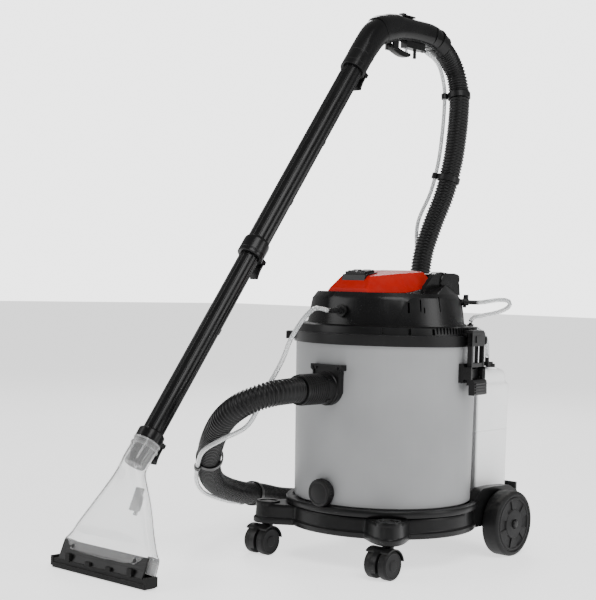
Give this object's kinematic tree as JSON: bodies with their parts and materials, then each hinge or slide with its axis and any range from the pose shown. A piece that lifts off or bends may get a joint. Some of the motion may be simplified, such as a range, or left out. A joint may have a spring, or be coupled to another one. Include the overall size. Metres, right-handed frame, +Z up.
{
  "type": "carpet cleaner machine",
  "caption": "Spray-extraction carpet cleaner: drum on a wheeled dolly, motor head, rear water tank, corrugated hose, ribbed wand and clear floor nozzle",
  "frame": {"origin": "on the floor, under the axis of the recovery drum", "axes": "+Z up, -Y to the front (hose inlet and casters), +X to the left of someone who stands behind the tank and looks forward"},
  "size_m": [0.6113, 0.9965, 1.0551],
  "materials": {
    "black": "satin moulded black plastic with a fine grain",
    "drum_grey": "mid grey moulded polyethylene, soft sheen",
    "cover_red": "glossy orange-red plastic",
    "tank_white": "milky white blow-moulded plastic",
    "clear": "clear polycarbonate",
    "clear_tube": "clear soft PVC tube",
    "steel": "plain steel",
    "rubber": "soft black rubber",
    "tread": "hard black tread",
    "motor_metal": "cast and pressed metal",
    "hose_black": "black corrugated polyethylene"
  },
  "bodies": {
    "machine": {"chassis_ring": "black", "rear_axle": "steel", "drum": "drum_grey", "rim_band": "black", "drain_spout": "black", "inlet_plate": "black", "cover_screws": "steel", "latch_bases": "black", "head_skirt": "black", "head_gasket": "rubber", "head_body": "black", "top_cover": "cover_red", "switch_box": "black", "motor_housing": "motor_metal", "pump_body": "motor_metal", "pump_barb": "black", "float_cage": "black", "line_fittings": "black", "tank_fitting": "black", "clean_tank": "tank_white", "nozzle_body": "clear", "nozzle_holder": "black", "nozzle_lip": "rubber", "spray_tip": "black", "wand_lower": "black", "wand_upper": "black", "handle_shell_left": "black", "handle_shell_right": "black", "valve_body": "black", "hose_cuffs": "black", "suction_hose": "hose_black", "solution_tube": "clear_tube", "tank_tube": "clear_tube", "feed_tube": "clear_tube", "hose_clips": "black"},
    "rear_wheel_l": {"rear_wheel_left": "tread"},
    "rear_wheel_r": {"rear_wheel_right": "tread"},
    "caster_l": {"caster_hood_left": "black", "caster_axle_left": "steel"},
    "caster_r": {"caster_hood_right": "black", "caster_axle_right": "steel"},
    "caster_roll_l": {"caster_wheels_left": "tread"},
    "caster_roll_r": {"caster_wheels_right": "tread"},
    "drain": {"drain_cap": "black"},
    "filler": {"tank_cap": "black"},
    "latch_l": {"latch_lever_left": "black"},
    "latch_r": {"latch_lever_right": "black"},
    "bail_l": {"latch_bail_left": "black"},
    "bail_r": {"latch_bail_right": "black"},
    "vac_switch": {"rocker_vacuum": "black"},
    "pump_switch": {"rocker_pump": "black"},
    "carry": {"carry_handle": "black"},
    "rotor": {"motor_rotor": "motor_metal"},
    "float": {"float_cup": "tank_white"},
    "lock_low": {"lock_lever_low": "black"},
    "lock_mid": {"lock_lever_mid": "black"},
    "lock_top": {"lock_lever_top": "black"},
    "trigger_lever": {"trigger": "black"},
    "plunger": {"valve_plunger": "steel"},
    "relief": {"air_slide": "black"}
  },
  "joints": [
    {"name": "rear_wheel_left_spin", "type": "hinge", "parent": "machine", "child": "rear_wheel_l", "pos_m": [-0.167, 0.164, 0.06], "axis": [1, 0, 0], "continuous": true},
    {"name": "rear_wheel_right_spin", "type": "hinge", "parent": "machine", "child": "rear_wheel_r", "pos_m": [0.167, 0.164, 0.06], "axis": [1, 0, 0], "continuous": true},
    {"name": "caster_left_swivel", "type": "hinge", "parent": "machine", "child": "caster_l", "pos_m": [-0.13915, -0.15728, 0.05], "axis": [0, 0, 1], "continuous": true},
    {"name": "caster_left_roll", "type": "hinge", "parent": "caster_l", "child": "caster_roll_l", "pos_m": [-0.13915, -0.17128, 0.025], "axis": [1, 0, 0], "continuous": true},
    {"name": "caster_right_swivel", "type": "hinge", "parent": "machine", "child": "caster_r", "pos_m": [0.13915, -0.15728, 0.05], "axis": [0, 0, 1], "continuous": true},
    {"name": "caster_right_roll", "type": "hinge", "parent": "caster_r", "child": "caster_roll_r", "pos_m": [0.13915, -0.17128, 0.025], "axis": [1, 0, 0], "continuous": true},
    {"name": "drain_cap_turn", "type": "hinge", "parent": "machine", "child": "drain", "pos_m": [0, -0.1658, 0.128], "axis": [0, -1, 0], "range_deg": [0, 90]},
    {"name": "tank_cap_turn", "type": "hinge", "parent": "machine", "child": "filler", "pos_m": [-0.04, 0.218, 0.35], "axis": [0, 0, 1], "range_deg": [0, 90]},
    {"name": "latch_left_open", "type": "hinge", "parent": "machine", "child": "latch_l", "pos_m": [-0.17727, 0.03126, 0.345], "axis": [0.1736, 0.9848, 0], "range_deg": [0, 110]},
    {"name": "latch_left_bail", "type": "hinge", "parent": "latch_l", "child": "bail_l", "pos_m": [-0.1753, 0.03091, 0.333], "axis": [0.1736, 0.9848, 0], "range_deg": [-110, 0]},
    {"name": "latch_right_open", "type": "hinge", "parent": "machine", "child": "latch_r", "pos_m": [0.17727, 0.03126, 0.345], "axis": [0.1736, -0.9848, 0], "range_deg": [0, 110]},
    {"name": "latch_right_bail", "type": "hinge", "parent": "latch_r", "child": "bail_r", "pos_m": [0.1753, 0.03091, 0.333], "axis": [0.1736, -0.9848, 0], "range_deg": [-110, 0]},
    {"name": "vacuum_rocker", "type": "hinge", "parent": "machine", "child": "vac_switch", "pos_m": [-0.011, -0.082, 0.512], "axis": [1, 0, 0], "range_deg": [-16, 0]},
    {"name": "pump_rocker", "type": "hinge", "parent": "machine", "child": "pump_switch", "pos_m": [0.011, -0.082, 0.512], "axis": [1, 0, 0], "range_deg": [-16, 0]},
    {"name": "carry_handle_lift", "type": "hinge", "parent": "machine", "child": "carry", "pos_m": [0, 0.055, 0.505], "axis": [1, 0, 0], "range_deg": [0, 90]},
    {"name": "motor_spin", "type": "hinge", "parent": "machine", "child": "rotor", "pos_m": [0, 0, 0.44], "axis": [0, 0, 1], "continuous": true},
    {"name": "float_rise", "type": "slide", "parent": "machine", "child": "float", "axis": [0, 0, 1], "range_m": [0, 0.045]},
    {"name": "lock_low_open", "type": "hinge", "parent": "machine", "child": "lock_low", "pos_m": [-0.175, -0.39595, 0.20868], "axis": [1, 0, 0], "range_deg": [0, 70]},
    {"name": "lock_mid_open", "type": "hinge", "parent": "machine", "child": "lock_mid", "pos_m": [-0.175, -0.1584, 0.52802], "axis": [1, 0, 0], "range_deg": [0, 70]},
    {"name": "lock_top_open", "type": "hinge", "parent": "machine", "child": "lock_top", "pos_m": [-0.175, 0.12395, 0.90875], "axis": [1, 0, 0], "range_deg": [0, 70]},
    {"name": "trigger_pull", "type": "hinge", "parent": "machine", "child": "trigger_lever", "pos_m": [-0.175, 0.218, 0.981], "axis": [1, 0, 0], "range_deg": [0, 10]},
    {"name": "valve_press", "type": "slide", "parent": "machine", "child": "plunger", "axis": [0, 0, 1], "range_m": [0, 0.0095]},
    {"name": "air_relief_slide", "type": "slide", "parent": "machine", "child": "relief", "axis": [0, 1, 0], "range_m": [0, 0.012]}
  ],
  "couplings": [
    {"joint": "latch_left_bail", "follows": "latch_left_open", "ratio": -1},
    {"joint": "latch_right_bail", "follows": "latch_right_open", "ratio": -1},
    {"joint": "valve_press", "follows": "trigger_pull", "m_per_rad": 0.048}
  ]
}
